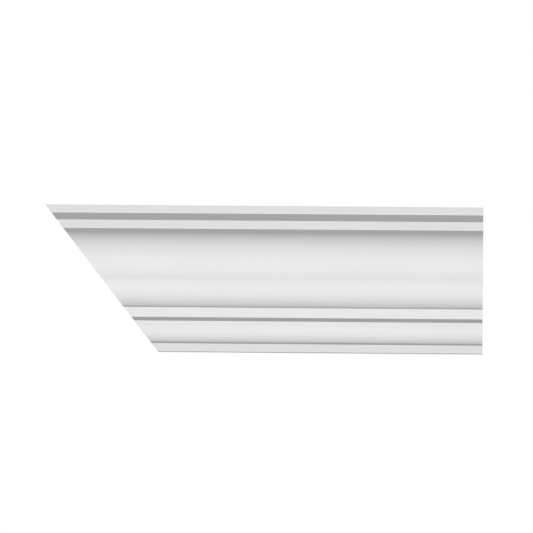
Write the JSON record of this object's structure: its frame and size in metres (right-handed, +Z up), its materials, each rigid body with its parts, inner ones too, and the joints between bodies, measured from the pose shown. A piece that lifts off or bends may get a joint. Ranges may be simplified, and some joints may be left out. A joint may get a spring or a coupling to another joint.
{
  "type": "cornice moulding length",
  "caption": "Straight length of white room cornice with fillets, a large cyma and an ovolo; flats behind it fix to wall and ceiling, with one square end and one diagonal end.",
  "frame": {"origin": "on the flat at the back that lies on the wall, halfway up that flat and halfway along the length", "axes": "+X along the length, to the right as seen from the room; +Y into the wall; +Z up towards the ceiling"},
  "size_m": [0.485, 0.1253, 0.1202],
  "materials": {
    "primed_white": "matt white primer on a smooth moulded face"
  },
  "bodies": {
    "root": {"cornice_moulding": "primed_white"}
  },
  "joints": []
}
